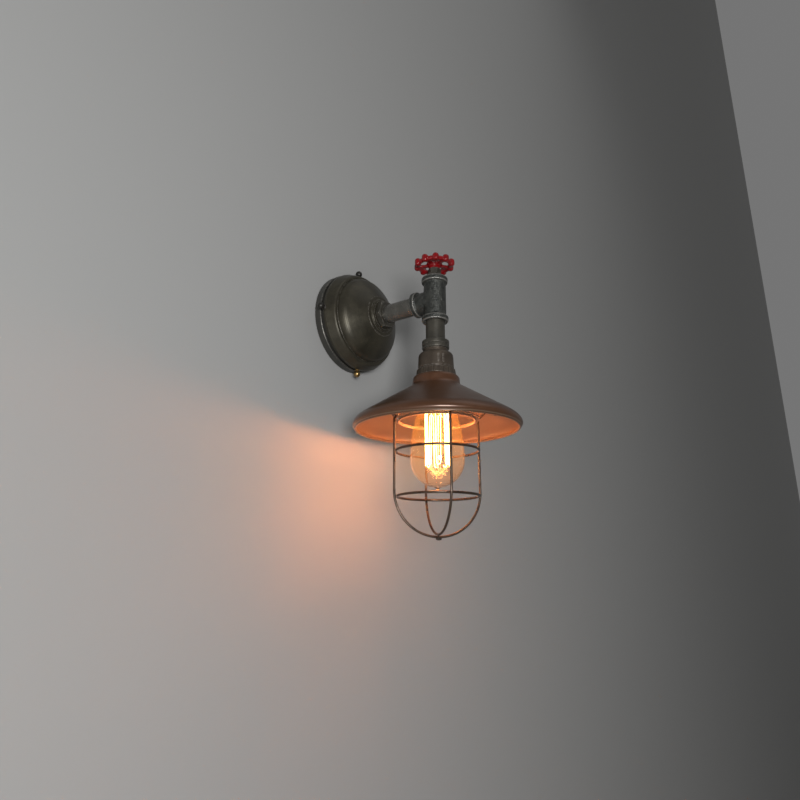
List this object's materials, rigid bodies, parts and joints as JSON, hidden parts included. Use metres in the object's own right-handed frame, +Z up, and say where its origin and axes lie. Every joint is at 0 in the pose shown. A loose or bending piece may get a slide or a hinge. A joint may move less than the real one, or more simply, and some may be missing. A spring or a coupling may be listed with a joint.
{
  "type": "pipe-style wall light",
  "caption": "Wall light of pipe fittings: domed canopy, short arm, tee with a turning handwheel, conical shade, screw-in filament bulb and wire guard.",
  "frame": {"origin": "centre of the wall plate's back face, on the wall", "axes": "+Y into the wall, so the arm points to -Y; +Z up; +X to the right of someone facing the wall"},
  "size_m": [0.18, 0.2175, 0.3329],
  "materials": {
    "plate_paint": "satin dark gunmetal lacquer",
    "cover_paint": "satin brown-grey gunmetal lacquer on spun steel",
    "black_screw": "blackened steel",
    "brass_screw": "aged brass",
    "casting": "rough cast iron under dark lacquer",
    "fitting_paint": "satin dark gunmetal lacquer",
    "pipe_steel": "lacquered grey steel pipe",
    "zinc": "zinc plated steel",
    "red_paint": "gloss red enamel",
    "spindle_steel": "turned steel",
    "cup_paint": "satin brown-grey gunmetal lacquer",
    "shade_paint": "satin taupe-brown gunmetal lacquer",
    "guard_paint": "satin taupe-grey lacquer on wire",
    "porcelain": "white glazed porcelain",
    "brass": "bright brass",
    "solder": "tinned solder",
    "cap_glass": "black vitrite insulator",
    "clear_glass": "clear glass with a faint amber tint",
    "stem_glass": "clear stem glass",
    "hook_wire": "brass-coloured support wire",
    "filament": "glowing carbon filament",
    "rubber": "black rubber",
    "block_plastic": "cream moulded plastic",
    "brown_lead": "brown wire insulation",
    "blue_lead": "blue wire insulation",
    "green_lead": "green wire insulation"
  },
  "bodies": {
    "fixture": {"wall_plate": "plate_paint", "cable_grommet": "rubber", "terminal_block": "block_plastic", "terminal_screws": "brass", "block_screws": "zinc", "earth_screw": "zinc", "earth_lead": "green_lead", "live_lead": "brown_lead", "neutral_lead": "blue_lead", "canopy_cover": "cover_paint", "inner_washer": "zinc", "inner_locknut": "zinc", "outer_washer": "cover_paint", "arm_nut": "fitting_paint", "arm_pipe": "pipe_steel", "pipe_tee": "casting", "top_plug": "fitting_paint", "gland_nut": "fitting_paint", "drop_nipple": "fitting_paint", "drop_collar": "fitting_paint", "socket_cup": "cup_paint", "holder_sleeve": "zinc", "holder_locknut": "zinc", "porcelain_holder": "porcelain", "holder_terminals": "brass", "screw_shell": "brass", "centre_contact": "brass", "clamp_ring": "cup_paint", "shade": "shade_paint", "shade_nut": "zinc", "guard_strips": "guard_paint", "guard_ring": "guard_paint", "ring_screws": "zinc", "ring_nuts": "zinc", "guard_wire_inner": "guard_paint", "guard_wire_outer": "guard_paint", "upper_hoop": "guard_paint", "lower_hoop": "guard_paint", "guard_button": "guard_paint"},
    "wheel": {"wheel_spindle": "spindle_steel", "spindle_clip": "zinc", "handwheel": "red_paint", "wheel_washer": "spindle_steel", "wheel_nut": "spindle_steel"},
    "bulb": {"bulb_cap": "brass", "cap_insulator": "cap_glass", "cap_contact": "solder", "bulb_glass": "clear_glass", "bulb_stem": "stem_glass", "filament_hooks": "hook_wire", "filament": "filament"},
    "screw_top": {"thumb_screw_top": "black_screw"},
    "screw_right": {"thumb_screw_right": "black_screw"},
    "screw_bottom": {"thumb_screw_bottom": "brass_screw"},
    "screw_left": {"thumb_screw_left": "black_screw"}
  },
  "joints": [
    {"name": "wheel_turn", "type": "hinge", "parent": "fixture", "child": "wheel", "pos_m": [0, -0.1275, 0.043], "axis": [0, 0, 1], "continuous": true},
    {"name": "bulb_unscrew", "type": "hinge", "parent": "fixture", "child": "bulb", "pos_m": [0, -0.1275, -0.0935], "axis": [0, 0, -1], "range_deg": [0, 1800]},
    {"name": "screw_top_turn", "type": "hinge", "parent": "fixture", "child": "screw_top", "pos_m": [0, -0.0142, 0], "axis": [0, 0, 1], "range_deg": [0, 1440]},
    {"name": "screw_right_turn", "type": "hinge", "parent": "fixture", "child": "screw_right", "pos_m": [0, -0.0142, 0], "axis": [1, 0, 0], "range_deg": [0, 1440]},
    {"name": "screw_bottom_turn", "type": "hinge", "parent": "fixture", "child": "screw_bottom", "pos_m": [0, -0.0142, 0], "axis": [0, 0, -1], "range_deg": [0, 1440]},
    {"name": "screw_left_turn", "type": "hinge", "parent": "fixture", "child": "screw_left", "pos_m": [0, -0.0142, 0], "axis": [-1, 0, 0], "range_deg": [0, 1440]}
  ]
}
